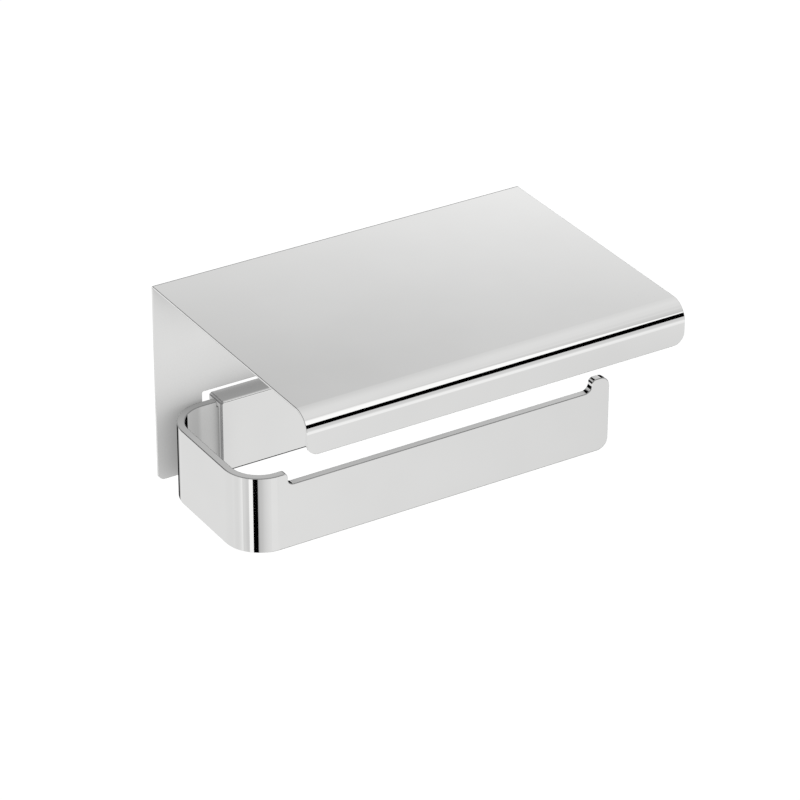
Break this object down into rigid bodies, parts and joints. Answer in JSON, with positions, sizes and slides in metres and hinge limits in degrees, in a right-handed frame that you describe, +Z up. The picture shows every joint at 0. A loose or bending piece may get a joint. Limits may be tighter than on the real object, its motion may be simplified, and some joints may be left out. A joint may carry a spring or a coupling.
{
  "type": "toilet paper holder",
  "caption": "Wall-mounted chrome toilet paper holder: a bent flat-bar arm with a notched rest for the roll, under a shelf folded from one sheet.",
  "frame": {"origin": "on the wall plane, midway between the shelf panel's two wall screws, 25 mm below the shelf's top", "axes": "+X to the right along the wall, +Y into the wall, +Z up"},
  "size_m": [0.1708, 0.1491, 0.0899],
  "materials": {
    "chrome_sheet": "polished chrome plate",
    "chrome_bar": "polished chrome plate",
    "chrome_housing": "polished chrome plate on a casting",
    "zinc_plated": "bright zinc plate",
    "stainless_steel": "plain turned stainless steel",
    "nylon_grey": "moulded nylon",
    "nylon_white": "moulded nylon"
  },
  "bodies": {
    "root": {"shelf_panel": "chrome_sheet", "roll_arm": "chrome_bar", "mount_housing": "chrome_housing", "arm_clamp_plate": "zinc_plated", "arm_screw_left": "zinc_plated", "arm_screw_right": "zinc_plated", "wall_bracket": "zinc_plated", "bracket_screw_left": "zinc_plated", "bracket_screw_right": "zinc_plated", "bracket_plug_left": "nylon_grey", "bracket_plug_right": "nylon_grey", "set_screw": "stainless_steel", "shelf_screw_left": "zinc_plated", "shelf_screw_right": "zinc_plated", "shelf_washer_left": "nylon_white", "shelf_washer_right": "nylon_white", "shelf_plug_left": "nylon_grey", "shelf_plug_right": "nylon_grey"}
  },
  "joints": []
}
